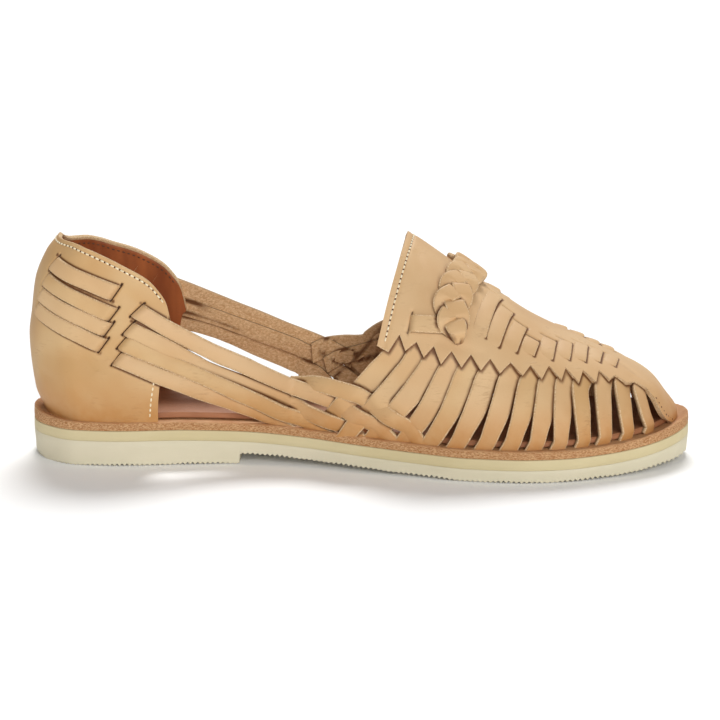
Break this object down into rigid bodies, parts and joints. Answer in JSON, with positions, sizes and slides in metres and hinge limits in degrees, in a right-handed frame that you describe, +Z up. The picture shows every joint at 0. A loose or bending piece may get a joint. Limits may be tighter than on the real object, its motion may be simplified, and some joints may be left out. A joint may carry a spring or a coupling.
{
  "type": "huarache sandal",
  "caption": "Woven leather huarache sandal for the right foot: closed heel counter, side straps, basket-woven vamp with an instep braid, on a low stacked rubber sole.",
  "frame": {"origin": "middle of the shoe's bounding box, on the floor that the sole stands on", "axes": "+X from heel to toe, -Y the outer side of the right foot, +Z up"},
  "size_m": [0.2552, 0.09, 0.0863],
  "materials": {
    "outsole": "matte pale grey-cream rubber",
    "rubber_midsole": "matte pale yellow rubber",
    "leather_midsole": "thick leather with a raw edge",
    "insole": "smooth red-brown leather",
    "upper": "natural vegetable-tanned leather, satin",
    "instep_braid": "natural vegetable-tanned leather, satin"
  },
  "bodies": {
    "root": {"outsole": "outsole", "rubber_midsole": "rubber_midsole", "leather_midsole": "leather_midsole", "insole": "insole", "upper": "upper", "instep_braid": "instep_braid"}
  },
  "joints": []
}
